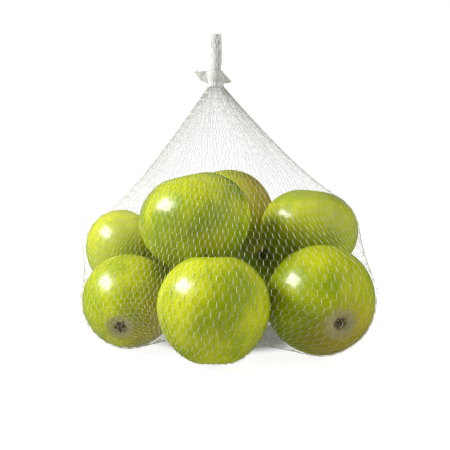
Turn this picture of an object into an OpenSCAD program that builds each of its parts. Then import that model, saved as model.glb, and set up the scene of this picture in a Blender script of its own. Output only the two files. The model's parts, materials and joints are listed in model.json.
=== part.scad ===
// Closed mesh produce bag holding ten green apples.
// The knitted net is a tube gathered by a clip at each end. Here it is one
// closed sheet drawn tight over the apples and up to the gathered neck.
// Origin: on the resting plane, under the middle of the bag. +Z is up and -Y is
// the side with the single low apple in front. Millimetres throughout.

/* [Apples] */
// Diameter of the front apple
d_front = 75; // [72:0.5:75]
// Diameter of the front left apple
d_front_left = 65; // [62:0.5:65]
// Diameter of the front right apple
d_front_right = 75; // [72:0.5:75]
// Diameter of the big apple on top at the front
d_top_front = 77; // [74:0.5:77]
// Diameter of the upper right apple
d_top_right = 69; // [66:0.5:69]
// Diameter of the apple on top at the back
d_top_back = 75; // [72:0.5:75]
// Diameter of the small upper left apple
d_top_left = 59; // [56:0.5:59]
// Diameter of the apple in the middle of the lower layer
d_middle = 65; // [62:0.5:65]
// Diameter of the back left apple
d_back_left = 64; // [61:0.5:64]
// Diameter of the back right apple
d_back_right = 67; // [64:0.5:67]
// Depth of the stem cavity as a share of the diameter
cavity_depth = 0.14; // [0.12:0.01:0.16]
// Depth of the calyx basin as a share of the diameter
basin_depth = 0.07; // [0.06:0.01:0.09]
// Visible length of each stem
stem_length = 6.5; // [4:0.5:7]
// Diameter of a stem at its root
stem_d = 2.4; // [2:0.1:3]
// Diameter of the dried calyx
calyx_d = 9; // [7:0.5:10]

/* [Net] */
// Wall of the sheet that stands in for the knitted net
net_wall = 1; // [0.8:0.1:1.2]
// Clear gap between the apples and the net
net_gap = 0.6; // [0.5:0.05:0.7]
// Height of the foot of the gathered neck
neck_z = 181; // [174:0.5:182]
// Diameter of the gathered neck
neck_d = 11.2; // [10:0.2:12]
// Diameter of the net where the closure squeezes it
squeeze_d = 7.7; // [7.2:0.1:7.9]
// Length of the free tail above its bend
tail_length = 22; // [15:1:30]
// Diameter of the free tail
tail_d = 7.6; // [6.6:0.1:7.8]

/* [Closures] */
// Height of the film collar
collar_height = 8.7; // [8:0.1:9]
// Thickness of the collar's film, as folded
collar_film = 0.6; // [0.4:0.05:0.8]
// Reach of the collar's long ear from the neck's axis
ear_reach = 15; // [12:0.2:17]
// Wire diameter of the clip inside the collar
clip_wire = 1.1; // [0.9:0.1:1.2]
// Wire diameter of the clip under the bag
foot_wire = 2; // [1.6:0.1:2.2]
// Length of the folded tail under the bag
foot_length = 13; // [10:0.5:14]

/* [Hidden] */

// Each apple: diameter, height factor, centre, tilt of the stem axis from
// upright, compass heading of that tilt (0 is +X, 90 is +Y)
front = [d_front, 1, [-8, -76, 37.2], 8, 90];
front_left = [d_front_left, 0.98, [-67, -20, 32.7], 64, 81];
front_right = [d_front_right, 0.98, [64.5, -47, 38], 73, 110];
top_front = [d_top_front, 0.9, [-20.5, -23, 88.5], 13, 165];
top_right = [d_top_right, 0.9, [58.5, 12, 76.5], 14, 60];
top_back = [d_top_back, 0.96, [-0.5, 58, 79], 40, 160];
top_left = [d_top_left, 0.96, [-72, 34.5, 61], 30, 20];
middle = [d_middle, 0.96, [5.5, 6.8, 32.7], 60, 200];
back_left = [d_back_left, 0.96, [-45.5, 82.5, 31.5], 20, 250];
back_right = [d_back_right, 0.96, [50.5, 74.5, 33.25], 35, 60];
APPLES = [front, front_left, front_right, top_front, top_right,
          top_back, top_left, middle, back_left, back_right];

profile_steps = 36;
flesh_fn = 96;
hull_fn = 32;
neck_x = -7;
neck_y = 8;
neck_top = neck_z + 0.8 + collar_height;
collar_z = neck_top - collar_height;
clip_z = collar_z + 0.45*collar_height;
tail_pivot_z = neck_top + tail_d/2 + 0.5;
clip_ring_r = squeeze_d/2 + clip_wire/2 + 0.05;
collar_bore_r = clip_ring_r + clip_wire/2 + 0.03;
collar_outer_r = collar_bore_r + collar_film;
foot_x = -22;
foot_y = -30;
pocket_r = 18;
pocket_top_r = 13;
pocket_h = 13;
foot_r = 2.8;
foot_bend_z = foot_r + 0.4;
foot_clip_z = 8.4;
foot_heading = 145;
green = [0.5, 0.66, 0.12];
brown = [0.33, 0.24, 0.14];
straw = [0.45, 0.4, 0.28];
net_white = [0.93, 0.95, 0.9, 0.45];
film_white = [0.92, 0.93, 0.86];
metal = [0.75, 0.75, 0.76];

// Half outline of an apple grown outward by g, from the stem end to the calyx end
function outline(a, g) = [for (i = [0:profile_steps])
    let (t = 180*i/profile_steps,
         d = a[0],
         r = d/2*sin(t)*(1 + 0.07*cos(t)),
         cavity = t < 90 ? cavity_depth*d*exp(-pow(r/(0.1*d), 2)) : 0,
         basin = t > 90 ? basin_depth*d*exp(-pow(r/(0.11*d), 2)) : 0)
    [max(0, r + g*sin(t)), a[1]*d/2*cos(t) - cavity + basin + g*cos(t)]];

// Moves its children from an upright apple at the origin to the place of a
module place(a) {
    translate(a[2])
        rotate([0, 0, a[4]])
            rotate([0, a[3], 0])
                children();
}

module flesh(a) {
    color(green)
        place(a)
            rotate_extrude($fn = flesh_fn)
                polygon(outline(a, 0));
}

// Stem: a short taper rooted in the bottom of the cavity, with a broader end
module stem(a) {
    root = a[1]*a[0]/2 - cavity_depth*a[0];
    color(brown)
        place(a)
            translate([0, 0, root - 1])
                union() {
                    cylinder(d1 = stem_d, d2 = 0.8*stem_d, h = stem_length, $fn = 32);
                    translate([0, 0, stem_length - 0.2])
                        cylinder(d1 = 0.8*stem_d, d2 = 1.2*stem_d, h = 1.2, $fn = 32);
                }
}

// Calyx: the dried remains of the flower, a low cup with five pointed sepals
module calyx(a) {
    root = -a[1]*a[0]/2 + basin_depth*a[0];
    color(straw)
        place(a)
            translate([0, 0, root + 0.5])
                rotate([180, 0, 0])
                    union() {
                        cylinder(d1 = 0.4*calyx_d, d2 = 0.52*calyx_d, h = 2.6, $fn = 40);
                        for (k = [0:4])
                            rotate([0, 0, 72*k])
                                translate([0, 0, 1.2])
                                    linear_extrude(1)
                                        polygon([[0, -0.2*calyx_d], [0.3*calyx_d, -0.12*calyx_d],
                                                 [0.5*calyx_d, 0], [0.3*calyx_d, 0.12*calyx_d],
                                                 [0, 0.2*calyx_d]]);
                    }
}

// The bag's outer form grown by g from the apples: a tight wrap over all of
// them, drawn up to the neck
module wrap(g, top_r, top_z) {
    hull() {
        for (a = APPLES)
            place(a)
                rotate_extrude($fn = hull_fn)
                    polygon(outline(a, g));
        translate([neck_x, neck_y, top_z - 1])
            cylinder(r = top_r, h = 1, $fn = 48);
    }
}

// Hollow under the bag, between three apples, that takes the foot closure
module foot_pocket(g) {
    translate([foot_x, foot_y, -1])
        cylinder(r1 = pocket_r + g, r2 = pocket_top_r + g, h = pocket_h + 1 + g, $fn = 48);
}

module net_sleeve() {
    color(net_white)
        difference() {
            intersection() {
                wrap(net_gap + net_wall, neck_d/2, neck_z);
                translate([-150, -150, 0])
                    cube([300, 300, 260]);
            }
            difference() {
                intersection() {
                    wrap(net_gap, neck_d/2 - net_wall, neck_z - 3);
                    translate([-150, -150, 0.7])
                        cube([300, 300, 260]);
                }
                foot_pocket(net_wall);
            }
            foot_pocket(0);
        }
}

// Gathered net from the top of the sleeve through the closure
module net_neck() {
    color(net_white)
        translate([neck_x, neck_y, 0])
            union() {
                translate([0, 0, neck_z - 0.4])
                    cylinder(d1 = neck_d, d2 = squeeze_d, h = collar_z - neck_z + 0.4, $fn = 64);
                translate([0, 0, collar_z - 0.1])
                    cylinder(d = squeeze_d, h = collar_height + 0.1, $fn = 64);
            }
}

// Free tail of the gathered net, cut straight across at its end
module net_tail() {
    color(net_white)
        translate([neck_x, neck_y, tail_pivot_z])
            union() {
                sphere(d = tail_d, $fn = 64);
                cylinder(d = tail_d, h = tail_length, $fn = 64);
            }
}

// Film collar wrapped round the clip, with one long pointed ear and one short ear
module closure_collar() {
    color(film_white)
        translate([neck_x, neck_y, collar_z])
            difference() {
                union() {
                    cylinder(r = collar_outer_r, h = collar_height, $fn = 64);
                    translate([0, collar_film/2, 0])
                        rotate([90, 0, 0])
                            linear_extrude(collar_film)
                                collar_ears();
                }
                translate([0, 0, -1])
                    cylinder(r = collar_bore_r, h = collar_height + 2, $fn = 64);
            }
}

// The two ears seen from the front: the long one points left and up, the short
// one right and down
module collar_ears() {
    polygon([[0, 0], [-5.6, 0.3], [-7.6, 1.3], [-9.8, 1.5], [-11.2, 2.7],
             [-ear_reach, collar_height - 0.6], [-ear_reach + 0.6, collar_height],
             [4, collar_height], [11, 1.5], [11, 0.6], [6, 0.1]]);
}

// Wire ring of a clip: centre radius r, wire diameter w, closed over some angle
module clip_ring(r, w, angle) {
    rotate_extrude(angle = angle, $fn = 64)
        translate([r, 0])
            circle(d = w, $fn = 32);
}

// Crimped wire clip closed round the gathered neck, its two ends butted at the back
module closure_clip() {
    color(metal)
        translate([neck_x, neck_y, clip_z])
            rotate([0, 0, 98])
                clip_ring(clip_ring_r, clip_wire, 344);
}

// The net's lower end: gathered down through its clip, then folded flat
module net_foot() {
    color(net_white)
        translate([foot_x, foot_y, 0])
            union() {
                translate([0, 0, foot_bend_z])
                    cylinder(r = foot_r, h = pocket_h - foot_bend_z + 0.4, $fn = 48);
                translate([0, 0, foot_bend_z])
                    sphere(r = foot_r, $fn = 48);
                translate([0, 0, foot_bend_z])
                    rotate([0, 0, foot_heading])
                        rotate([0, 90, 0])
                            cylinder(r = foot_r, h = foot_length, $fn = 48);
            }
}

// Crimped wire clip round the gathered lower end
module foot_clip() {
    color(metal)
        translate([foot_x, foot_y, foot_clip_z])
            rotate([0, 0, foot_heading + 8])
                clip_ring(foot_r + foot_wire/2 + 0.05, foot_wire, 344);
}

net_sleeve();
net_neck();
net_tail();
closure_collar();
closure_clip();
net_foot();
foot_clip();
flesh(front);  // apple_front
stem(front);  // apple_front_stem
calyx(front);  // apple_front_calyx
flesh(front_left);  // apple_front_left
stem(front_left);  // apple_front_left_stem
calyx(front_left);  // apple_front_left_calyx
flesh(front_right);  // apple_front_right
stem(front_right);  // apple_front_right_stem
calyx(front_right);  // apple_front_right_calyx
flesh(top_front);  // apple_top_front
stem(top_front);  // apple_top_front_stem
calyx(top_front);  // apple_top_front_calyx
flesh(top_right);  // apple_top_right
stem(top_right);  // apple_top_right_stem
calyx(top_right);  // apple_top_right_calyx
flesh(top_back);  // apple_top_back
stem(top_back);  // apple_top_back_stem
calyx(top_back);  // apple_top_back_calyx
flesh(top_left);  // apple_top_left
stem(top_left);  // apple_top_left_stem
calyx(top_left);  // apple_top_left_calyx
flesh(middle);  // apple_middle
stem(middle);  // apple_middle_stem
calyx(middle);  // apple_middle_calyx
flesh(back_left);  // apple_back_left
stem(back_left);  // apple_back_left_stem
calyx(back_left);  // apple_back_left_calyx
flesh(back_right);  // apple_back_right
stem(back_right);  // apple_back_right_stem
calyx(back_right);  // apple_back_right_calyx
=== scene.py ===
import json
import math

import bpy
import numpy as np
from mathutils import Matrix, Vector


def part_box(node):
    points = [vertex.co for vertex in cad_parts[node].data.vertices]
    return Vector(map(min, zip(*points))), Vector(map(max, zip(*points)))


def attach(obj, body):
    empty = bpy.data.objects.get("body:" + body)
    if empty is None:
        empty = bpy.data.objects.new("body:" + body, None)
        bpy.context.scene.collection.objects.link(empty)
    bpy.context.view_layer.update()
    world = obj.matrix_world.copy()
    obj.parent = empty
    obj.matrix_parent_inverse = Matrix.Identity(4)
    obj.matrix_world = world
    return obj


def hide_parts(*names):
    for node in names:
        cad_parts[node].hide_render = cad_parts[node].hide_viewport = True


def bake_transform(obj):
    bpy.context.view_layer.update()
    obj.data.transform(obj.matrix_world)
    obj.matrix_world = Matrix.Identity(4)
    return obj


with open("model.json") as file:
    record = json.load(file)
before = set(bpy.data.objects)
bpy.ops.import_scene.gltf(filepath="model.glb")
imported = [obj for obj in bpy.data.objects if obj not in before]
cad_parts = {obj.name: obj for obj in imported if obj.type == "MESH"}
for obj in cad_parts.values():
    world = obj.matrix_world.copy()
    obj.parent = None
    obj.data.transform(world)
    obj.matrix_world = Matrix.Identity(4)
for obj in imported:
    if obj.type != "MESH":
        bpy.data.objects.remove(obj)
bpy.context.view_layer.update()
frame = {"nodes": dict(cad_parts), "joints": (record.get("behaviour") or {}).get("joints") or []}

MM = 0.001
SEED = 7

# ---------------------------------------------------------------- places, from the frame

TAIL_JOINT = next(j for j in frame["joints"] if j["child"] == "tail")
NECK_XY = TAIL_JOINT["pos_m"][:2]
SLEEVE_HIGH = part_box("net_sleeve")[1]
NECK_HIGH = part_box("net_neck")[1]
TAIL_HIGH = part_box("net_tail")[1]
COLLAR_LOW, COLLAR_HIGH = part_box("closure_collar")
CLIP_LOW, CLIP_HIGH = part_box("closure_clip")
FOOT_LOW, FOOT_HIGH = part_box("net_foot")
FOOT_CLIP_LOW, FOOT_CLIP_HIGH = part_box("foot_clip")
FOOT_XY = [(FOOT_CLIP_LOW.x + FOOT_CLIP_HIGH.x)/2, (FOOT_CLIP_LOW.y + FOOT_CLIP_HIGH.y)/2]


# ---------------------------------------------------------------- camera, floor and light

CAMERA_DISTANCE, CAMERA_PITCH = 1.25, math.radians(7)
CAMERA_TARGET = Vector((0.0025, 0.008, 0.095))
LAMP_TARGET = Vector((0, 0, 0.09))
WALL_LIGHT, CEILING_LIGHT = 0.08, 0.8    # the world's strength, low at the walls and high overhead
WALL_TOP, CEILING_EDGE = 0.1, 0.7        # a direction's height where the first turns into the second
FLOOR_REACH = 40                         # half the floor's width, in metres
FLOOR_GREY, FLOOR_GLOW = 0.25, 0.9       # the floor's own grey, and how strongly it shines
FLOOR_BOUNCE = 0.6                       # share of that shine that lights the bag from below
PAINTED_SHADOW_GLOW = 0.1                         # how strongly it shines in the painted shadow between the apples
PAINTED_SHADOW_AT = (0.004, 0.028, 0)             # that painted shadow's middle
PAINTED_SHADOW_X, PAINTED_SHADOW_Y = 0.058, 0.064          # and its half axes


def make_camera():
    """A long lens a little above the bag, level with its middle"""
    data = bpy.data.cameras.new("camera")
    data.lens, data.sensor_width = 142.86, 36
    data.shift_x, data.shift_y = -0.01, -0.039
    camera = bpy.data.objects.new("camera", data)
    back = Vector((0, -math.cos(CAMERA_PITCH), math.sin(CAMERA_PITCH)))
    camera.location = CAMERA_TARGET + back*CAMERA_DISTANCE
    camera.rotation_euler = back.to_track_quat("Z", "Y").to_euler()
    bpy.context.scene.collection.objects.link(camera)
    bpy.context.scene.camera = camera


def make_light(name, kind, towards, **settings):
    """A lamp that stands in direction `towards` from the bag's middle and shines at it"""
    data = bpy.data.lights.new(name, kind)
    for key, value in settings.items():
        setattr(data, key, value)
    lamp = bpy.data.objects.new(name, data)
    direction = Vector(towards)
    lamp.location = LAMP_TARGET + direction
    lamp.rotation_euler = direction.to_track_quat("Z", "Y").to_euler()
    bpy.context.scene.collection.objects.link(lamp)
    return lamp


def make_world():
    """A bright ceiling over darker walls"""
    world = bpy.data.worlds.new("studio")
    bpy.context.scene.world = world
    world.use_nodes = True
    tree = world.node_tree
    direction = tree.nodes.new("ShaderNodeTexCoord").outputs["Generated"]
    parts = tree.nodes.new("ShaderNodeSeparateXYZ")
    tree.links.new(direction, parts.inputs[0])
    ceiling = tree.nodes.new("ShaderNodeMapRange")
    ceiling.interpolation_type = "SMOOTHSTEP"
    tree.links.new(parts.outputs["Z"], ceiling.inputs["Value"])
    for name, value in (("From Min", WALL_TOP), ("From Max", CEILING_EDGE),
                        ("To Min", WALL_LIGHT), ("To Max", CEILING_LIGHT)):
        ceiling.inputs[name].default_value = value
    tree.links.new(ceiling.outputs[0], tree.nodes["Background"].inputs["Strength"])


def make_lights():
    """A broad key on the left, which alone shows as a highlight, and a soft top and fill"""
    make_light("key", "AREA", (-0.95, -0.16, 0.68), energy=26, shape="RECTANGLE",
               size=0.72, size_y=0.42)
    top = make_light("top", "SUN", (-0.45, -0.2, 1), energy=0.5, angle=math.radians(80))
    fill = make_light("fill", "SUN", (1, -0.15, 0.35), energy=2.75, angle=math.radians(80))
    for lamp in (top, fill):
        lamp.visible_glossy = False


def make_floor():
    """A pale floor that shines a little, less so in a painted shadow under the bag between the apples
    """
    mesh = bpy.data.meshes.new("floor")
    far = FLOOR_REACH
    corners = [(-far, -far, 0), (far, -far, 0), (far, far, 0), (-far, far, 0)]
    mesh.from_pydata(corners, [], [(0, 1, 2, 3)])
    floor = bpy.data.objects.new("floor", mesh)
    bpy.context.scene.collection.objects.link(floor)
    paint = Shader("floor_paint", roughness=0.9)
    paint.inputs["Base Color"].default_value = (FLOOR_GREY, FLOOR_GREY, FLOOR_GREY, 1)
    paint.inputs["Emission Color"].default_value = (1, 1, 1, 1)
    # painted shadow: the floor's shine drops inside an ellipse under the bag
    place = paint.vector("SUBTRACT", paint.here(), PAINTED_SHADOW_AT)
    away = paint.vector("LENGTH", paint.scaled(place, 1/PAINTED_SHADOW_X, 1/PAINTED_SHADOW_Y, 0))
    glow = paint.step(away, 0.65, 1.15, PAINTED_SHADOW_GLOW, FLOOR_GLOW)
    bounce = paint.step(paint.node("LightPath").outputs["Is Diffuse Ray"], 0, 1, 1, FLOOR_BOUNCE)
    paint.put(paint.inputs["Emission Strength"], paint.math("MULTIPLY", glow, bounce))
    mesh.materials.append(paint.material)
    floor.visible_glossy = False


# ---------------------------------------------------------------- materials

def srgb(r, g, b):
    """A colour given as 0 to 255 screen values, as a shader wants it"""
    def linear(c):
        c /= 255
        return c/12.92 if c <= 0.04045 else ((c + 0.055)/1.055)**2.4
    return (linear(r), linear(g), linear(b), 1)


class Shader:
    """One material, with short calls that add nodes and join them"""

    def __init__(self, name, **settings):
        self.material = bpy.data.materials.new(name)
        self.material.use_nodes = True
        self.tree = self.material.node_tree
        self.surface = self.tree.nodes["Principled BSDF"]
        self.inputs = self.surface.inputs
        for key, value in settings.items():
            self.inputs[key.replace("_", " ").title().replace("Ior", "IOR")].default_value = value

    def put(self, socket, value):
        if isinstance(value, bpy.types.NodeSocket):
            self.tree.links.new(value, socket)
        else:
            socket.default_value = value

    def node(self, kind, *values, **properties):
        """A node of that kind, its first inputs filled with values or other nodes' outputs"""
        made = self.tree.nodes.new("ShaderNode" + kind)
        for key, value in properties.items():
            setattr(made, key, value)
        for socket, value in zip(made.inputs, values):
            if value is not None:
                self.put(socket, value)
        return made

    def here(self):
        return self.node("TexCoord").outputs["Object"]

    def local(self, apple):
        """Coordinates in the apple's own frame, with Z along its stem"""
        q = self.vector("SUBTRACT", self.here(), tuple(apple["centre"]))
        axes = [self.vector("DOT_PRODUCT", q, tuple(apple["turn"][:, i])) for i in range(3)]
        return self.node("CombineXYZ", *axes).outputs[0]

    def math(self, operation, *values):
        return self.node("Math", *values, operation=operation).outputs[0]

    def vector(self, operation, *values):
        made = self.node("VectorMath", *values, operation=operation)
        return made.outputs["Value" if operation in ("DOT_PRODUCT", "LENGTH") else "Vector"]

    def scaled(self, vector, x, y, z):
        return self.vector("MULTIPLY", vector, (x, y, z))

    def noise(self, vector, scale, detail=2, rough=0.5):
        made = self.node("TexNoise", vector)
        made.inputs["Scale"].default_value = scale
        made.inputs["Detail"].default_value = detail
        made.inputs["Roughness"].default_value = rough
        return made.outputs["Fac"]

    def step(self, value, low, high, out_low=0.0, out_high=1.0):
        """A smooth step of value between low and high"""
        made = self.node("MapRange", value, low, high, out_low, out_high,
                         interpolation_type="SMOOTHSTEP")
        return made.outputs[0]

    def mix(self, share, first, second):
        made = self.node("Mix", data_type="RGBA")
        self.put(made.inputs[0], share)
        self.put(made.inputs[6], first)
        self.put(made.inputs[7], second)
        return made.outputs[2]

    def bump(self, height, distance, strength=1.0):
        made = self.node("Bump")
        made.inputs["Strength"].default_value = strength
        made.inputs["Distance"].default_value = distance
        self.put(made.inputs["Height"], height)
        self.put(self.inputs["Normal"], made.outputs[0])


def skin_material(apple, tone, blush, blush_side):
    """Waxy green skin: patches and streaks, pale dots, russet by the stem, pale round the calyx.

    tone runs from 0, deep green, to 1, pale yellow-green. blush is how strong the brownish red
    is on the side that blush_side, a direction in the apple's own frame, points to.
    """
    size = apple["d"]
    s = Shader(apple["name"] + "_skin", roughness=0.3, specular_ior_level=0.25, coat_weight=0.5,
               coat_roughness=0.18, subsurface_weight=0.1, subsurface_scale=0.003)
    s.inputs["Subsurface Radius"].default_value = (1.0, 0.8, 0.1)
    place = s.scaled(s.local(apple), 1/size, 1/size, 1/size)
    seat = s.vector("ADD", place, (3.1*tone, 1.7 + blush, 5*tone))
    flat = s.scaled(place, 1, 1, 0)
    radius = s.vector("LENGTH", flat)
    height = s.vector("DOT_PRODUCT", place, (0, 0, 1))
    around = s.vector("ADD", s.vector("NORMALIZE", flat), s.scaled(seat, 0, 0, 0.35))

    patches = s.step(s.noise(seat, 2.2, 3), 0.36, 0.64)
    green = s.mix(tone, srgb(112, 138, 2), srgb(172, 180, 8))
    yellow = s.mix(tone, srgb(166, 176, 2), srgb(200, 202, 26))
    colour = s.mix(patches, green, yellow)
    streaks = s.step(s.noise(around, 11, 4, 0.6), 0.42, 0.72)
    colour = s.mix(s.math("MULTIPLY", streaks, 0.38), colour, srgb(100, 128, 4))
    pale_streaks = s.step(s.noise(around, 23, 2), 0.56, 0.74)
    colour = s.mix(s.math("MULTIPLY", pale_streaks, 0.26), colour, srgb(204, 204, 20))
    cloud = s.step(s.noise(seat, 26, 4, 0.65), 0.45, 0.75)
    colour = s.mix(s.math("MULTIPLY", cloud, 0.22), colour, srgb(196, 198, 16))

    side = s.vector("DOT_PRODUCT", place, blush_side)
    fringe = s.math("MULTIPLY", s.noise(around, 7, 4, 0.7), 0.34)
    warmth = s.step(s.math("ADD", side, fringe), 0.34, 0.62)
    colour = s.mix(s.math("MULTIPLY", warmth, blush), colour, srgb(150, 100, 50))

    dots = s.node("TexVoronoi", place)
    dots.inputs["Scale"].default_value = 17
    dot_size = s.math("ADD", 0.05, s.math("MULTIPLY", s.noise(seat, 9, 1), 0.1))
    from_dot = s.math("DIVIDE", dots.outputs["Distance"], dot_size)
    dot = s.math("SUBTRACT", 1.0, s.step(from_dot, 0.6, 1.2))
    colour = s.mix(s.math("MULTIPLY", dot, 0.45), colour, srgb(222, 222, 90))

    ragged = s.math("ADD", radius, s.math("MULTIPLY", s.noise(around, 5, 3, 0.7), 0.09))
    at_stem = s.math("MULTIPLY", s.step(ragged, 0.2, 0.12), s.step(height, 0.1, 0.2))
    colour = s.mix(s.math("MULTIPLY", at_stem, 0.7), colour, srgb(134, 112, 54))
    at_calyx = s.math("MULTIPLY", s.step(ragged, 0.24, 0.14), s.step(height, -0.1, -0.2))
    colour = s.mix(s.math("MULTIPLY", at_calyx, 0.8), colour, srgb(154, 147, 104))
    deep = s.math("MULTIPLY", s.step(ragged, 0.13, 0.08), s.step(height, -0.1, -0.2))
    colour = s.mix(s.math("MULTIPLY", deep, 0.7), colour, srgb(92, 78, 50))
    s.put(s.inputs["Base Color"], colour)

    dull = s.math("MULTIPLY", s.math("MAXIMUM", at_stem, deep), 0.3)
    gloss = s.step(s.noise(seat, 14, 3), 0.3, 0.7, 0.29, 0.42)
    s.put(s.inputs["Roughness"], s.math("ADD", gloss, dull))
    grain = s.math("ADD", s.math("MULTIPLY", s.noise(seat, 70, 3), 0.6), s.math("MULTIPLY", dot, 0.5))
    s.bump(s.math("ADD", grain, s.math("MULTIPLY", s.noise(seat, 9, 2), 2.0)), 0.00012)
    return s.material


def dry_material(apple, name, dark, light, scale, stretch):
    """Dry stem or calyx: brown fibres along the apple's own axis"""
    s = Shader(apple["name"] + name, roughness=0.78, specular_ior_level=0.3)
    place = s.scaled(s.local(apple), 1, 1, stretch)
    fibres = s.noise(place, scale, 5, 0.7)
    colour = s.mix(s.step(fibres, 0.36, 0.66), dark, light)
    s.put(s.inputs["Base Color"], colour)
    s.bump(fibres, 0.0004)
    return s.material


# The net's darkest and lightest colour, 0 to 255: round the apples, above them, and bundled. It is one
# white yarn: above the apples it is painted darker as painted shade, and in the bundle lighter as
# painted light over the bundle's own shade
SPREAD_YARN = (206, 209, 200), (224, 226, 217)
CROWDED_YARN_PAINTED_SHADE = (198, 200, 194), (212, 213, 208)
GATHERED_YARN_PAINTED_LIGHT = (240, 241, 239), (250, 250, 248)


def yarn_material(name, dark, light, **settings):
    """Knitted plastic yarn: milky, with fine lengthwise lines"""
    s = Shader(name, roughness=0.34, specular_ior_level=0.4, ior=1.12, **settings)
    place = s.here()
    milk = s.step(s.noise(place, 260, 2), 0.3, 0.7)
    colour = s.mix(milk, srgb(*dark), srgb(*light))
    lines = s.noise(s.scaled(place, 1, 1, 0.12), 5200, 2)
    s.put(s.inputs["Base Color"], colour)
    s.put(s.inputs["Roughness"], s.step(lines, 0.3, 0.7, 0.26, 0.46))
    s.bump(lines, 0.00006)
    return s.material


def film_material():
    """Satin film of the collar: pale greenish white, with creases and a warmer, denser middle"""
    s = Shader("collar_film", roughness=0.42, specular_ior_level=0.4, transmission_weight=0.2, ior=1.1,
               alpha=0.65)
    place = s.vector("SUBTRACT", s.here(), (NECK_XY[0], NECK_XY[1], COLLAR_LOW.z))
    across = s.math("ABSOLUTE", s.vector("DOT_PRODUCT", place, (1, 0, 0)))
    middle = s.math("SUBTRACT", 1.0, s.step(across, 4.6*MM, 5.8*MM))
    creases = s.noise(s.scaled(place, 1, 1, 0.16), 900, 3, 0.6)
    colour = s.mix(s.step(creases, 0.3, 0.7), srgb(224, 227, 218), srgb(234, 236, 228))
    clouds = s.step(s.noise(place, 240, 2), 0.35, 0.65)
    warm = s.mix(clouds, srgb(214, 208, 203), srgb(217, 216, 208))
    s.put(s.inputs["Base Color"], s.mix(s.math("MULTIPLY", middle, 0.8), colour, warm))
    s.put(s.inputs["Roughness"], s.step(creases, 0.3, 0.7, 0.36, 0.5))
    s.bump(creases, 0.0003)
    return s.material


def wire_material():
    """Drawn clip wire: fine rings round it and a few duller patches"""
    s = Shader("clip_wire", roughness=0.32, metallic=1.0)
    place = s.here()
    drawn = s.noise(s.scaled(place, 1, 1, 5), 1600, 3)
    stain = s.step(s.noise(place, 300, 2), 0.45, 0.7)
    colour = s.mix(s.math("MULTIPLY", stain, 0.5), srgb(205, 205, 207), srgb(150, 150, 152))
    s.put(s.inputs["Base Color"], colour)
    s.put(s.inputs["Roughness"], s.step(drawn, 0.3, 0.7, 0.24, 0.44))
    s.bump(drawn, 0.00008)
    return s.material


# ---------------------------------------------------------------- mesh helpers

def new_piece(name, points, faces_by_size, *materials, starts=()):
    """A smooth-shaded mesh object from an array of points and arrays of faces with equal corners.

    starts lists which array of faces each further material begins with.
    """
    mesh = bpy.data.meshes.new(name)
    mesh.vertices.add(len(points))
    mesh.vertices.foreach_set("co", np.ascontiguousarray(points, np.float32).ravel())
    corners = np.concatenate([f.ravel() for f in faces_by_size]).astype(np.int32)
    sizes = np.concatenate([np.full(len(f), f.shape[1]) for f in faces_by_size]).astype(np.int32)
    mesh.loops.add(len(corners))
    mesh.loops.foreach_set("vertex_index", corners)
    mesh.polygons.add(len(sizes))
    first_corners = np.concatenate([[0], np.cumsum(sizes)[:-1]]).astype(np.int32)
    mesh.polygons.foreach_set("loop_start", first_corners)
    mesh.polygons.foreach_set("loop_total", sizes)
    mesh.update(calc_edges=True)
    mesh.validate()
    mesh.polygons.foreach_set("use_smooth", np.ones(len(mesh.polygons), bool))
    for material in materials:
        mesh.materials.append(material)
    firsts = [sum(len(f) for f in faces_by_size[:start]) for start in starts]
    look = np.searchsorted(firsts, np.arange(len(sizes)), side="right")
    mesh.polygons.foreach_set("material_index", look.astype(np.int32))
    piece = bpy.data.objects.new(name, mesh)
    bpy.context.scene.collection.objects.link(piece)
    return piece


def tubes(paths, radii, sides):
    """Closed round tubes along paths, an array of (tube, ring, xyz). Returns points and faces"""
    count, rings = paths.shape[:2]
    along = np.gradient(paths, axis=1)
    along /= np.maximum(np.linalg.norm(along, axis=2, keepdims=True), 1e-12)
    mean = paths[:, -1] - paths[:, 0]
    helper = np.eye(3)[np.abs(mean).argmin(axis=1)][:, None, :]
    side = np.cross(along, np.broadcast_to(helper, along.shape))
    side /= np.maximum(np.linalg.norm(side, axis=2, keepdims=True), 1e-12)
    up = np.cross(side, along)
    turn = 2*np.pi*np.arange(sides)/sides
    ring = side[:, :, None, :]*np.cos(turn)[:, None] + up[:, :, None, :]*np.sin(turn)[:, None]
    points = paths[:, :, None, :] + ring*np.broadcast_to(radii, (count, rings))[:, :, None, None]
    index = np.arange(count*rings*sides).reshape(count, rings, sides)
    beside = np.roll(index, -1, axis=2)
    walls = np.stack([index[:, :-1], index[:, 1:], beside[:, 1:], beside[:, :-1]], -1).reshape(-1, 4)
    ends = np.concatenate([index[:, 0], index[:, -1, ::-1]])
    return points.reshape(-1, 3), [walls, ends]


def joined(parts):
    """Several (points, faces) sets as one"""
    points, faces, start = [], [], 0
    for some_points, some_faces in parts:
        points.append(some_points)
        faces += [f + start for f in some_faces]
        start += len(some_points)
    return np.concatenate(points), faces


# ---------------------------------------------------------------- apples

# Lengths are over the apple's diameter. SHOULDER and the dents are shares of its half width
WIDEST = 1.0023                     # the outline's greatest half width over half the diameter
SHOULDER = 0.07                     # how much broader the stem's half is than the calyx's
RING_R, RING_Z = 0.3711, 0.3536     # where the outline stands at 45 degrees
CAVITY, CAVITY_R = 0.14, 0.1        # depth and breadth of the stem cavity
BASIN, BASIN_R = 0.07, 0.11         # depth and breadth of the calyx basin
LOBE_DENT = 0.014                   # five hollows, deepest at the calyx
LEAN_DENT, FLAT_DENT = 0.006, 0.004 # one flatter side, and three flats all the way up


def outline(d, tall, t):
    """Half width and height of an apple's outline at angles t from the stem"""
    r = d/2*np.sin(t)*(1 + SHOULDER*np.cos(t))
    z = tall*d/2*np.cos(t)
    z -= np.where(t < np.pi/2, CAVITY*d*np.exp(-(r/(CAVITY_R*d))**2), 0)
    z += np.where(t > np.pi/2, BASIN*d*np.exp(-(r/(BASIN_R*d))**2), 0)
    return r, z


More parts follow.
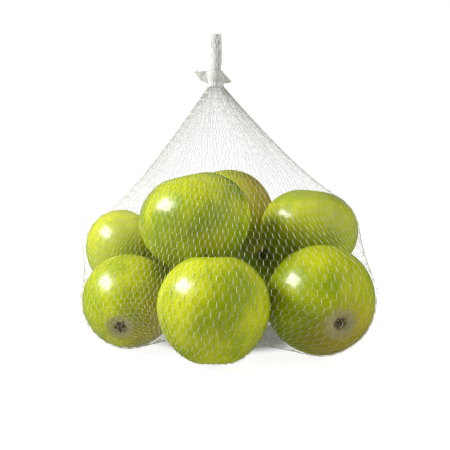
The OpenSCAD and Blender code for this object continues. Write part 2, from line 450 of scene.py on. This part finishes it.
def read_apple(joint):
    """Centre, orientation, diameter and height factor of one apple, from its joint and CAD mesh"""
    name = joint["child"]
    centre = np.array(joint["pos_m"])
    axis = Vector(joint["axis"])
    heading = math.atan2(axis.y, axis.x)
    turn = Matrix.Rotation(heading, 3, "Z") @ Matrix.Rotation(math.acos(axis.z), 3, "Y")
    turn = np.array(turn)
    co = np.empty(len(frame["nodes"][name].data.vertices)*3)
    frame["nodes"][name].data.vertices.foreach_get("co", co)
    local = (co.reshape(-1, 3) - centre) @ turn
    r = np.hypot(local[:, 0], local[:, 1])
    d = 2*r.max()/WIDEST
    ring = np.argmin(np.abs(r - RING_R*d) + (local[:, 2] < 0))
    return {"name": name, "centre": centre, "turn": turn, "d": d, "tall": local[ring, 2]/(RING_Z*d)}


# Each apple's tone, blush and the way its blush faces (world axes). The middle and back right apples'
# deep tones are their own green and also painted shade for the shadow they lie in
LOOKS = {
    "apple_front": (0.45, 0.0, (1, 0, 0)),
    "apple_front_left": (0.5, 0.4, (0.75, -0.5, -0.35)),
    "apple_front_right": (0.32, 0.45, (0.4, -0.55, -0.75)),
    "apple_top_front": (0.12, 0.08, (-0.25, -0.8, -0.55)),
    "apple_top_right": (0.6, 0.0, (1, 0, 0)),
    "apple_top_back": (0.62, 0.5, (0.85, -0.1, 0.4)),
    "apple_top_left": (0.9, 0.0, (1, 0, 0)),
    # painted shade: the middle apple gets the deepest green for the shadow it sits in among the others
    "apple_middle": (0.0, 0.0, (1, 0, 0)),
    "apple_back_left": (0.4, 0.45, (-0.5, 0.8, 0.3)),
    # painted shade in part: this apple's deep green also stands for the shadow it sits in
    "apple_back_right": (0.1, 0.5, (0.6, 0.7, 0.4)),
}


def set_in_place(piece, apple):
    piece.data.transform(Matrix.Translation(apple["centre"]) @ Matrix(apple["turn"]).to_4x4())
    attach(piece, apple["name"])


def make_flesh(apple, rng):
    """The apple's skin: the CAD outline, pressed in a little between five lobes and on one side"""
    across, down = 120, 84
    # rings of points, a little closer together towards the stem and the calyx
    even = np.pi*np.arange(1, down)/down
    t = 0.55*np.pi*(0.5 - 0.5*np.cos(even)) + 0.45*even
    turn = 2*np.pi*np.arange(across)/across
    r, z = outline(apple["d"], apple["tall"], t)
    lobes = 0.5 + 0.5*np.cos(5*turn + rng.uniform(0, 6))
    lean = 0.5 + 0.5*np.cos(turn + rng.uniform(0, 6))
    flats = 0.5 + 0.5*np.cos(3*turn + rng.uniform(0, 6))
    low = (0.5 - 0.5*np.cos(t))**2
    dent = LOBE_DENT*low[:, None]*lobes + LEAN_DENT*lean*np.sin(t)[:, None] + FLAT_DENT*flats
    shrink = 1 - dent
    points = np.stack([r[:, None]*shrink*np.cos(turn), r[:, None]*shrink*np.sin(turn),
                       np.broadcast_to(z[:, None], (down - 1, across))*(1 - 0.35*dent)], -1)
    points = points.reshape(-1, 3)
    poles = outline(apple["d"], apple["tall"], np.array([1e-4, np.pi - 1e-4]))[1]
    top, bottom = len(points), len(points) + 1
    points = np.concatenate([points, [[0, 0, poles[0]], [0, 0, poles[1]]]])
    index = np.arange((down - 1)*across).reshape(down - 1, across)
    beside = np.roll(index, -1, axis=1)
    walls = np.stack([index[:-1], index[1:], beside[1:], beside[:-1]], -1).reshape(-1, 4)
    upper = np.stack([np.full(across, top), index[0], beside[0]], -1)
    lower = np.stack([np.full(across, bottom), beside[-1], index[-1]], -1)
    tone, blush, side = LOOKS[apple["name"]]
    side = Vector(side).normalized() @ Matrix(apple["turn"])
    material = skin_material(apple, tone, blush, tuple(side))
    ends = np.concatenate([upper, lower])
    flesh = new_piece(apple["name"] + "_flesh", points, [walls, ends], material)
    set_in_place(flesh, apple)
    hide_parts(apple["name"])


STEM_LENGTH, STEM_R, STEM_FLARE = 8.2*MM, 1.15*MM, 0.45*MM   # the flare is its broader end
STEM_ROOT = 1*MM                    # how deep the stem is set into the flesh


def make_stem(apple, rng):
    """A short woody stem, bent to one side, with a broader end"""
    root = apple["tall"]*apple["d"]/2 - CAVITY*apple["d"] - STEM_ROOT
    sides = 14
    s = np.linspace(0, 1, 22)
    heading, bend = rng.uniform(0, 2*np.pi), rng.uniform(0.6, 1.6)*MM
    sway = bend*s**2
    path = np.stack([sway*np.cos(heading), sway*np.sin(heading), root + STEM_LENGTH*s], -1)
    radius = STEM_R*(1 - 0.3*np.sin(np.pi*np.clip(s*0.75, 0, 1)))
    radius += STEM_FLARE*np.clip((s - 0.78)/0.2, 0, 1)
    radius[-2:] *= (0.93, 0.6)
    radius[0] *= 1.2
    points, faces = tubes(path[None], radius[None], sides)
    middle = np.repeat(path, sides, axis=0)
    turn = np.arctan2(points[:, 1] - middle[:, 1], points[:, 0] - middle[:, 0])
    ribs = 1 + 0.07*np.sin(4*turn + rng.uniform(0, 6)) + 0.05*rng.standard_normal(len(points))
    points = middle + (points - middle)*ribs[:, None]
    material = dry_material(apple, "_stem_bark", srgb(58, 40, 22), srgb(132, 104, 62), 900, 0.15)
    stem = new_piece(apple["name"] + "_woody_stem", points, faces, material)
    set_in_place(stem, apple)
    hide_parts(apple["name"] + "_stem")


SEPALS, SEPAL_HALF_WIDTH, SEPAL_THICKNESS = 5, 1.45*MM, 0.28*MM
SEPAL_ROOT, SEPAL_LIFT = 0.5*MM, 0.35*MM    # where a sepal begins, from the axis and from the flesh
STAMENS, STAMEN_R = 11, 0.16*MM


def make_calyx(apple, rng):
    """Five dried sepals round a tuft of dried stamens, standing in the basin"""
    d, tall = apple["d"], apple["tall"]

    def ground(r):
        """Height of the flesh at a distance from the axis, near enough in the basin"""
        t = np.pi - np.arcsin(np.clip(r/(0.47*d), 0, 1))
        return outline(d, tall, t)[1]

    parts = []
    steps, width_steps = 10, 5
    for k in range(SEPALS):
        heading = 2*np.pi*k/SEPALS + rng.uniform(-0.15, 0.15)
        reach = rng.uniform(3.2, 4.1)*MM
        curl = rng.uniform(0.3, 1.1)*MM
        s = np.linspace(0, 1, steps)[:, None]
        w = np.linspace(-1, 1, width_steps)[None, :]
        out = SEPAL_ROOT + reach*np.sin(s*1.3)/math.sin(1.3)
        half = SEPAL_HALF_WIDTH*(1 - s)**0.7*(0.75 + 0.5*s) + 0.1*MM
        lift = SEPAL_LIFT + curl*s**2 + 0.45*MM*w**2*(1 - s)
        lift = lift + rng.uniform(-0.1, 0.1, (steps, width_steps))*MM
        x, y = out + 0*w, half*w
        z = ground(np.hypot(x, y)) - lift
        top = np.stack([x*math.cos(heading) - y*math.sin(heading),
                        x*math.sin(heading) + y*math.cos(heading), z], -1).reshape(-1, 3)
        under = top + np.array([0, 0, SEPAL_THICKNESS])
        index = np.arange(steps*width_steps).reshape(steps, width_steps)
        quads = np.stack([index[:-1, :-1], index[1:, :-1], index[1:, 1:], index[:-1, 1:]], -1)
        quads = quads.reshape(-1, 4)
        loop = np.concatenate([index[0, :-1], index[:-1, -1], index[-1, :0:-1], index[:0:-1, 0]])
        rim = np.stack([loop, np.roll(loop, -1), np.roll(loop, -1) + len(top), loop + len(top)], -1)
        parts.append((np.concatenate([top, under]), [quads, quads[:, ::-1] + len(top), rim[:, ::-1]]))
    s = np.linspace(0, 1, 6)
    heading = rng.uniform(0, 2*np.pi, STAMENS)[:, None]
    root = rng.uniform(0.2, 0.9, STAMENS)[:, None]
    away = (root + 0.9*s**2*rng.uniform(0.3, 1.2, STAMENS)[:, None])*MM
    length = rng.uniform(1.6, 2.6, STAMENS)[:, None]*MM
    base = ground(np.array([0.0]))[0] + 0.6*MM
    path = np.stack([away*np.cos(heading), away*np.sin(heading), base - length*s], -1)
    parts.append(tubes(path, STAMEN_R, 5))
    points, faces = joined(parts)
    material = dry_material(apple, "_sepal_skin", srgb(54, 42, 26), srgb(150, 138, 98), 800, 1)
    calyx = new_piece(apple["name"] + "_sepals", points, faces, material)
    set_in_place(calyx, apple)
    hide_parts(apple["name"] + "_calyx")


# ---------------------------------------------------------------- the net, drawn tight by simulation

COLS, ROWS = 116, 48     # stitches round the tube and rows of stitches along it
PILLAR = 2.8*MM          # length of a stitch's thick chain
LINK = 3.0*MM            # length of the thin yarn from one chain to the next
UNEVEN = 0.14            # how much both lengths vary, as a share
YARN = 0.55*MM           # how far the yarn's middle stays from an apple and from the floor
STRAND_R, LINK_R = 0.12*MM, 0.14*MM             # radius of the chain's two strands and of the links
STRAND_SHAPE = np.array([0.7, 1, 1.1, 1, 0.7])  # the strands' radius along the chain
STRAND_OFFSET = 0.1*MM   # how far each of the chain's strands winds round its middle
OVERLAP = 0.04           # how far a chain runs on past its ends, over its length
SECTORS = 4              # pieces that the net is drawn as
BARE_Z = 106*MM          # above this height the stitches crowd together
WAISTS = (("apple_front_right", "apple_top_right"), ("apple_front_left", "apple_top_left"))
WAIST_SAG = 0.05         # how far the net sags between the two apples of a waist, over their radius
STEPS, QUICK_STEPS, SWEEPS = 260, 90, 4     # steps of the simulation, and sweeps over the yarns in one
KEEP_SPEED, GRIP = 0.9, 0.5                 # speed kept from step to step, and lost on an apple's skin
WEIGHT = 2e-6                               # metres that a stitch drops per step
LINK_STIFFNESS = 0.3                        # share of a link's stretch that each of its ends undoes
FOOT_RING_R, NECK_RING_R = 2.5*MM, 5.1*MM   # the fixed rings that the net ends in
RING_DROP = 1.5*MM                          # how far they lie below the tops of foot and sleeve
# The loose drop that the net starts as: places along it, its radius and its height above the floor
DROP_STOPS = [0, 0.05, 0.2, 0.33, 0.5, 0.62, 1]
DROP_RADIUS = [0.003, 0.02, 0.09, 0.135, 0.135, 0.115, 0.005]
DROP_HEIGHT = [0.0006, 0.0006, 0.02, 0.07, 0.11]


def reach_table(apple):
    """Distance from the centre to the apple's form, its hollows bridged, by angle from the stem"""
    r, z = outline(apple["d"], apple["tall"], np.linspace(0, np.pi, 91))
    facing = np.linspace(0, np.pi, 361)
    support = (np.outer(np.sin(facing), r) + np.outer(np.cos(facing), z)).max(axis=1)
    angles = np.linspace(0, np.pi, 181)
    slant = np.cos(facing[None, :] - angles[:, None])
    reach = np.where(slant > 0.05, support[None, :]/np.maximum(slant, 0.05), 1e9).min(axis=1)
    return angles, reach


def push_out(points, apples):
    """Moves points out of the apples and off the floor. Returns which ones touched an apple"""
    touched = np.zeros(len(points), bool)
    for apple in apples:
        angles, reach = apple["reach"]
        q = points - apple["centre"]
        near = np.nonzero((q*q).sum(axis=1) < (reach.max() + YARN)**2)[0]
        q = q[near] @ apple["turn"]
        away = np.sqrt((q*q).sum(axis=1)) + 1e-12
        a = np.arctan2(np.hypot(q[:, 0], q[:, 1]), q[:, 2])
        skin = np.interp(a, angles, reach) + YARN
        inside = away < skin
        if not inside.any():
            continue
        near, q, away, a, skin = near[inside], q[inside], away[inside], a[inside], skin[inside]
        slope = (np.interp(a + 0.01, angles, reach) - np.interp(a - 0.01, angles, reach))/0.02
        turn = np.arctan2(q[:, 1], q[:, 0])
        outward = np.stack([np.sin(a)*np.cos(turn), np.sin(a)*np.sin(turn), np.cos(a)], 1)
        downward = np.stack([np.cos(a)*np.cos(turn), np.cos(a)*np.sin(turn), -np.sin(a)], 1)
        normal = outward - downward*(slope/skin)[:, None]
        length = np.linalg.norm(normal, axis=1)
        q = q + normal*((skin - away)/length**2)[:, None]
        points[near] = q @ apple["turn"].T + apple["centre"]
        touched[near] = True
    by_name = {apple["name"]: apple for apple in apples}
    for lower, upper in WAISTS:
        a, b = by_name[lower], by_name[upper]
        axis = b["centre"] - a["centre"]
        t = (points - a["centre"]) @ axis/(axis @ axis)
        foot = a["centre"] + t[:, None]*axis
        away = np.linalg.norm(points - foot, axis=1)
        reach = a["reach"][1].max()*(1 - t) + b["reach"][1].max()*t
        reach = reach*(1 - WAIST_SAG*4*t*(1 - t)) + YARN
        inside = (t > 0) & (t < 1) & (away < reach)
        points[inside] = foot[inside] + (points[inside] - foot[inside])*(reach/away)[inside, None]
    points[:, 2] = np.maximum(points[:, 2], YARN)
    return touched


def ring_of(centre, radius, height, turn, wobble):
    """A closed ring of points with a few pleats"""
    pleats = 1 + wobble*(np.sin(5*turn) + 0.8*np.sin(11*turn + 1) + 0.6*np.sin(19*turn + 2))
    return np.stack([centre[0] + radius*pleats*np.cos(turn), centre[1] + radius*pleats*np.sin(turn),
                     np.full(len(turn), height)], -1)


def draw_tight(apples, rng):
    """Simulates the net from a loose drop round the apples until it lies tight.

    Returns the stitches' lower and upper ends as an array of (2*ROWS, COLS, 3), from the foot up.
    """
    level = np.arange(2*ROWS)
    s = level/(2*ROWS - 1)
    lanes = np.arange(COLS) + rng.uniform(-0.2, 0.2, COLS)
    turn = 2*np.pi*(lanes[None, :] + 0.5*((level//2) % 2)[:, None])/COLS - np.pi/2
    turn = turn + 0.16*np.sin(turn + 0.6) + 0.05*np.sin(3*turn + 2)
    radius = np.interp(s, DROP_STOPS, DROP_RADIUS)
    neck_z = SLEEVE_HIGH.z - RING_DROP
    foot_z = FOOT_HIGH.z - RING_DROP
    height = np.interp(s, DROP_STOPS, [foot_z, *DROP_HEIGHT, neck_z])
    middle = [np.interp(s, [0, 0.2, 0.6, 1], [FOOT_XY[i], 0, 0, NECK_XY[i]])[:, None] for i in (0, 1)]
    p = np.stack([middle[0] + radius[:, None]*np.cos(turn), middle[1] + radius[:, None]*np.sin(turn),
                  np.repeat(height[:, None], COLS, axis=1)], -1)
    foot = ring_of(FOOT_XY, FOOT_RING_R, foot_z, turn[0], 0.08)
    neck = ring_of(NECK_XY, NECK_RING_R, neck_z, turn[-1], 0.04)
    p[0], p[-1] = foot, neck
    pillar = PILLAR*(1 + UNEVEN*rng.standard_normal((ROWS, COLS, 1)))
    link = LINK*(1 + UNEVEN*rng.standard_normal((2, ROWS - 1, COLS, 1)))
    before = p.copy()
    for _ in range(STEPS):
        speed = KEEP_SPEED*(p - before)
        before = p.copy()
        p = p + speed
        p[..., 2] -= WEIGHT
        for _ in range(SWEEPS):
            low, high = p[0::2], p[1::2]
            gap = high - low
            fix = 0.5*gap*(1 - pillar/np.maximum(np.linalg.norm(gap, axis=-1, keepdims=True), 1e-9))
            low += fix
            high -= fix
            high, low = p[1:-1:2], p[2::2]
            for parity, sideways in ((0, 0), (0, 1), (1, 0), (1, -1)):
                a, b = high[parity::2], low[parity::2]
                gap = np.roll(b, sideways, axis=1) - a
                length = np.linalg.norm(gap, axis=-1, keepdims=True)
                slack = link[abs(sideways), parity::2]
                fix = LINK_STIFFNESS*gap*np.maximum(length - slack, 0)/np.maximum(length, 1e-9)
                a += fix
                b -= np.roll(fix, -sideways, axis=1)
            p[0], p[-1] = foot, neck
            flat = p.reshape(-1, 3)
            touched = push_out(flat, apples).reshape(p.shape[:2])
            p = flat.reshape(p.shape)
        before[touched] += GRIP*(p[touched] - before[touched])
        p[0], p[-1] = foot, neck
    return p


def make_net(p, *looks):
    """The knitted tube as its own yarns: thick chains and the thin links between them, in sectors.

    looks are the materials of the chains round the apples, the chains above them, the links
    round the apples and the links above them.
    """
    bare = int(np.argmax(p[1::2, :, 2].mean(axis=1) > BARE_Z))   # the first row above the apples
    low, high = p[0::2], p[1::2]
    s = np.linspace(0, 1, 5)[:, None]
    for k in range(SECTORS):
        lane = np.arange(COLS*k//SECTORS, COLS*(k + 1)//SECTORS)
        chains = []
        for rows in (slice(0, bare), slice(bare, None)):
            a, b = low[rows, lane].reshape(-1, 1, 3), high[rows, lane].reshape(-1, 1, 3)
            over = OVERLAP*(b - a)
            middle = (a - over)*(1 - s) + (b + over)*s
            along = (b - a)/np.linalg.norm(b - a, axis=-1, keepdims=True)
            side = np.cross(along, [0.0, 0.0, 1.0]) + 1e-9
            side /= np.linalg.norm(side, axis=-1, keepdims=True)
            up = np.cross(side, along)
            wind = 1.5*np.pi*s + 2.4*np.arange(len(a))[:, None, None]
            thick = STRAND_R*(1 + 0.25*np.sin(2.4*np.arange(len(a))))[:, None]*STRAND_SHAPE
            for half in (0, np.pi):
                offset = np.cos(wind + half)*side + np.sin(wind + half)*up
                path = middle + STRAND_OFFSET*offset*np.sin(np.pi*(0.15 + 0.7*s))
                chains.append(tubes(path, thick, 4))
        links = ([], [])
        for row in range(ROWS - 1):
            for sideways in (0, -1 if row % 2 else 1):
                a = high[row, lane][:, None]
                b = np.roll(low[row + 1], sideways, axis=0)[lane][:, None]
                links[row >= bare].append(a*(1 - s[::4]) + b*s[::4])
        points, faces = joined([*chains, *(tubes(np.concatenate(some), LINK_R, 3) for some in links)])
        net = new_piece(f"net_knit_{k + 1}", points, faces, *looks, starts=(4, 8, 10))
        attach(net, "bag")
        if k == 0:
            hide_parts("net_sleeve")


# ---------------------------------------------------------------- gathered ends

GOLDEN_ANGLE = 2.39996                   # turn between one spot of a bundle and the next
LUMP_PITCH = 2.7*MM                      # the gathered yarns swell and thin along their length
NECK_YARN_R, FOOT_YARN_R = 0.23*MM, 0.19*MM
CLIPPED_R = 3.55*MM                      # the bundle inside the collar's clip
TAIL_R = 3.7*MM, 3.75*MM                 # the free tail at its lower and its cut end
TAIL_FLATNESS = 0.12                     # the tail is that much less deep than wide
SWAY = 0.22*MM                           # sideways, of one yarn of the tail
LEAN = 0.3*MM                            # sideways, of the whole tail
NECK_DROP, TAIL_SHORT = 1.6*MM, 0.3*MM   # the yarns' ends inside the sleeve's and the tail's tops
CUT_UNEVEN = 0.5*MM                      # how far a yarn of the cut end may stand back
FOOT_CLIPPED_R = 2.45*MM                 # the bundle inside the lower clip
FOOT_BEND_R, FOOT_BEND_Z = 2.4*MM, 2.75*MM   # its fold's radius, and its height on the floor
FOOT_RUN = 10*MM                         # along the floor beyond the bend


def bundle_spots(count, rng):
    """Evenly spread spots in a unit disc, as (angle, radius), each a little off its place"""
    k = np.arange(count)
    return k*GOLDEN_ANGLE + rng.uniform(-0.1, 0.1, count), np.sqrt((k + 0.5)/count)


def make_neck_and_tail(p, material, rng):
    """Every column of the net as two yarns through the collar and up to the straight-cut end"""
    count, rings = 2*COLS, 40
    angle, radius = bundle_spots(count, rng)
    start = p[-1]
    start_turn = np.arctan2(start[:, 1] - NECK_XY[1], start[:, 0] - NECK_XY[0])
    # yarns keep to their own side of the bundle, so that none crosses another
    angle = np.mod(angle, 2*np.pi)
    order = np.argsort(angle)
    by_turn = np.argsort(np.repeat(np.mod(start_turn, 2*np.pi), 2))
    spot_turn, spot_radius = np.empty(count), np.empty(count)
    spot_turn[by_turn], spot_radius[by_turn] = angle[order], radius[order]
    root = np.repeat(start, 2, axis=0)
    low, top = SLEEVE_HIGH.z - NECK_DROP, TAIL_HIGH.z - TAIL_SHORT
    z = np.linspace(low, top, rings)
    tail_r = np.interp(z, [low, low + 4*MM, NECK_HIGH.z, NECK_HIGH.z + 4*MM, top],
                       [CLIPPED_R, CLIPPED_R, CLIPPED_R, *TAIL_R])
    into = np.clip((z - COLLAR_LOW.z - 0.5*MM)/(3.5*MM), 0, 1)
    into = into*into*(3 - 2*into)
    free = np.clip((z - NECK_HIGH.z)/(8*MM), 0, 1)
    wave = rng.uniform(0, 2*np.pi, (count, 1))
    sway_x = SWAY*free*np.sin(900*(z[None, :] - low) + wave)
    sway_y = SWAY*free*np.sin(760*(z[None, :] - low) + 2*wave)
    # the whole tail leans and waves a little
    lean_x = LEAN*free*np.sin(170*(z - NECK_HIGH.z)) + LEAN*free*(z - NECK_HIGH.z)/(25*MM)
    disc_x = np.cos(spot_turn)[:, None]*spot_radius[:, None]*tail_r
    disc_y = np.sin(spot_turn)[:, None]*spot_radius[:, None]*tail_r*(1 - TAIL_FLATNESS*free)
    ring_x = (root[:, 0] - NECK_XY[0])[:, None]
    ring_y = (root[:, 1] - NECK_XY[1])[:, None]
    x = NECK_XY[0] + ring_x*(1 - into) + disc_x*into + sway_x + lean_x
    y = NECK_XY[1] + ring_y*(1 - into) + disc_y*into + sway_y
    cut = rng.uniform(-CUT_UNEVEN, 0, (count, 1))
    height = z[None, :] + cut*np.clip((z - NECK_HIGH.z)/(top - NECK_HIGH.z), 0, 1)
    path = np.stack([x, y, np.broadcast_to(height, x.shape)], -1)
    thick = NECK_YARN_R*(1 + 0.22*np.sin(2*np.pi*z[None, :]/LUMP_PITCH + 2*wave))
    points, faces = tubes(path, thick, 5)
    tail = new_piece("net_neck_and_tail", points, faces, material)
    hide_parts("net_neck", "net_tail")
    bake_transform(tail)


def make_foot(p, material, rng):
    """The net's lower end: gathered down through its clip, then folded flat under the bag"""
    count, rings = 2*COLS, 26
    angle, radius = bundle_spots(count, rng)
    root = np.repeat(p[0], 2, axis=0)
    order = np.argsort(np.mod(angle, 2*np.pi))
    root_turn = np.mod(np.arctan2(root[:, 1] - FOOT_XY[1], root[:, 0] - FOOT_XY[0]), 2*np.pi)
    spot_turn, spot_radius = np.empty(count), np.empty(count)
    by_turn = np.argsort(root_turn)
    spot_turn[by_turn], spot_radius[by_turn] = np.mod(angle, 2*np.pi)[order], radius[order]
    # the fold runs towards the corner of its box that lies farthest from the clip
    corners = [(x, y) for y in (FOOT_HIGH.y, FOOT_LOW.y) for x in (FOOT_LOW.x, FOOT_HIGH.x)]
    far = max((Vector((x - FOOT_XY[0], y - FOOT_XY[1])) for x, y in corners), key=lambda v: v.length)
    forward = np.array([*far.normalized(), 0])
    across = np.array([-forward[1], forward[0], 0])
    straight = FOOT_HIGH.z - RING_DROP - FOOT_BEND_Z - FOOT_BEND_R
    total = straight + FOOT_BEND_R*np.pi/2 + FOOT_RUN
    s = np.linspace(0, total, rings)
    bend = np.clip((s - straight)/FOOT_BEND_R, 0, np.pi/2)
    ahead = FOOT_BEND_R*(1 - np.cos(bend)) + np.maximum(s - straight - FOOT_BEND_R*np.pi/2, 0)
    height = FOOT_BEND_Z + FOOT_BEND_R*(1 - np.sin(bend)) + np.maximum(straight - s, 0)
    into = np.clip(s/(2*MM), 0, 1)
    flat = 1 - 0.1*(bend/(np.pi/2))
    u = spot_radius*np.cos(spot_turn)*FOOT_CLIPPED_R
    v = spot_radius*np.sin(spot_turn)*FOOT_CLIPPED_R
    u = (root[:, 0] - FOOT_XY[0])[:, None]*(1 - into) + u[:, None]*into
    v = (root[:, 1] - FOOT_XY[1])[:, None]*(1 - into) + v[:, None]*into
    # u and v are world offsets while the bundle hangs straight; the part along `forward` turns up
    along = u*forward[0] + v*forward[1]
    beside = u*across[0] + v*across[1]
    centre = np.array([*FOOT_XY, 0]) + ahead[:, None]*forward + np.outer(height, [0, 0, 1])
    outward = np.cos(bend)[:, None]*forward + np.outer(np.sin(bend), [0, 0, 1])
    path = centre + along[:, :, None]*(flat[:, None]*outward) + beside[:, :, None]*across
    thick = FOOT_YARN_R*(1 + 0.2*np.sin(2*np.pi*s/LUMP_PITCH + rng.uniform(0, 6, (count, 1))))
    points, faces = tubes(path, thick, 5)
    foot = new_piece("net_foot_fold", points, faces, material)
    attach(foot, "bag")
    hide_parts("net_foot")


FILM = 0.14*MM                           # thickness
MOUTH = 0.16                             # angle at which the loop opens into an ear
LOOP_DRAW = 0.05                         # how far the loop is pulled in above and below the clip
# The left ear's edge: heights above the collar's foot and distances from the neck, in mm
LEFT_EDGE = (0, 1.3, 1.5, 2.7), (5.9, 7.6, 9.8, 11.2)
EAR_ROWS, LOOP_STEPS, EAR_STEPS = 30, 64, 22


def ear(reach, corner, sign, e):
    """One wall of an ear: x, and its distance from the ear's middle, for e from 1 (tip) to 0"""
    x = corner[0] + max(reach - abs(corner[0]), 0)*sign*e
    return x, np.interp(e, [0, 0.15, 1], [abs(corner[1]), 0.2*MM, 0.12*MM])


def make_collar(material):
    """Film wrapped round the neck and pressed flat on both sides into a long and a short ear"""
    height = COLLAR_HIGH.z - COLLAR_LOW.z
    left_reach = NECK_XY[0] - COLLAR_LOW.x
    right_reach = COLLAR_HIGH.x - NECK_XY[0]
    loop_r = (COLLAR_HIGH.y - COLLAR_LOW.y)/2 - 0.25*MM
    h = np.linspace(0, 1, EAR_ROWS)
    left = np.interp(h*height, [*(z*MM for z in LEFT_EDGE[0]), height - 0.6*MM, height],
                     [*(x*MM for x in LEFT_EDGE[1]), left_reach - 0.2*MM, left_reach - 0.9*MM])
    right = np.interp(h*height, [0, 0.6*MM, 1.5*MM, height],
                      [7*MM, right_reach - 0.3*MM, right_reach - 0.2*MM, 4*MM])
    pleats = np.arange(LOOP_STEPS//2 + 1)/(LOOP_STEPS//2)
    turn = np.pi - MOUTH - (np.pi - 2*MOUTH)*pleats
    clip_h = ((CLIP_LOW.z + CLIP_HIGH.z)/2 - COLLAR_LOW.z)/height
    e = np.linspace(1, 0, EAR_STEPS)
    rings = []
    for i in range(EAR_ROWS):
        # the loop bulges over the clip and is pulled in a little above and below it
        r = loop_r*(1 - LOOP_DRAW*(1 - math.exp(-((h[i] - clip_h)/0.2)**2)))
        crimp = 1 + 0.012*np.sin(31*turn + 3*h[i]) + 0.01*np.sin(17*turn + 1)
        front = np.stack([r*crimp*np.cos(turn), -r*crimp*np.sin(turn)], -1)
        back = np.stack([r*crimp[::-1]*np.cos(turn[::-1]), r*crimp[::-1]*np.sin(turn[::-1])], -1)
        wave = 0.2*MM*np.sin(7*h[i] + 9*e)*np.sin(np.pi*np.clip(e*1.1, 0, 1))
        wave = wave + 0.12*MM*np.sin(26*h[i])*e
        left_x, left_gap = ear(left[i], front[0], -1, e)
        right_x, right_gap = ear(right[i], front[-1], 1, e)
        left_front = np.stack([left_x, wave - left_gap], -1)
        right_front = np.stack([right_x, -wave - right_gap], -1)[::-1]
        right_back = np.stack([right_x, -wave + right_gap], -1)
        left_back = np.stack([left_x, wave + left_gap], -1)[::-1]
        section = np.concatenate([left_front[:-1], front, right_front[1:],
                                  right_back[:-1], back, left_back[1:]])
        rings.append(np.column_stack([section + NECK_XY,
                                      np.full(len(section), COLLAR_LOW.z + h[i]*height)]))
    points = np.concatenate(rings)
    count = len(rings[0])
    index = np.arange(EAR_ROWS*count).reshape(EAR_ROWS, count)
    beside = np.roll(index, -1, axis=1)
    walls = np.stack([index[:-1], beside[:-1], beside[1:], index[1:]], -1).reshape(-1, 4)
    collar = new_piece("closure_collar_film", points, [walls], material)
    thick = collar.modifiers.new("film", "SOLIDIFY")
    thick.thickness, thick.offset = FILM, 0
    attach(collar, "bag")
    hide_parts("closure_collar")


# ---------------------------------------------------------------- the scene

bpy.context.scene.view_settings.view_transform = "Standard"
make_camera()
make_world()
make_lights()
make_floor()
RNG = np.random.default_rng(SEED)
APPLES = [read_apple(j) for j in frame["joints"] if j.get("continuous")]
for one in APPLES:
    make_flesh(one, RNG)
    make_stem(one, RNG)
    make_calyx(one, RNG)
    one["reach"] = reach_table(one)
NET = draw_tight(APPLES, RNG)
make_net(NET, yarn_material("net_chain", *SPREAD_YARN, transmission_weight=0.2, alpha=0.55),
         # painted shade: the crowded yarn above the apples is painted darker than the same yarn round
         # them
         yarn_material("net_chain_crowded", *CROWDED_YARN_PAINTED_SHADE, transmission_weight=0.2, alpha=0.35),
         yarn_material("net_link", *SPREAD_YARN, alpha=0.15),
         yarn_material("net_link_crowded", *CROWDED_YARN_PAINTED_SHADE, alpha=0.35))
# painted light: the bundled yarn is painted lighter to hide the shade inside the bundle
GATHERED_LOOK_PAINTED_LIGHT = yarn_material("net_gathered", *GATHERED_YARN_PAINTED_LIGHT, transmission_weight=0.05, alpha=0.5)
make_neck_and_tail(NET, GATHERED_LOOK_PAINTED_LIGHT, RNG)
make_foot(NET, GATHERED_LOOK_PAINTED_LIGHT, RNG)
make_collar(film_material())
WIRE = wire_material()
for clip in ("closure_clip", "foot_clip"):
    frame["nodes"][clip].data.materials.clear()
    frame["nodes"][clip].data.materials.append(WIRE)
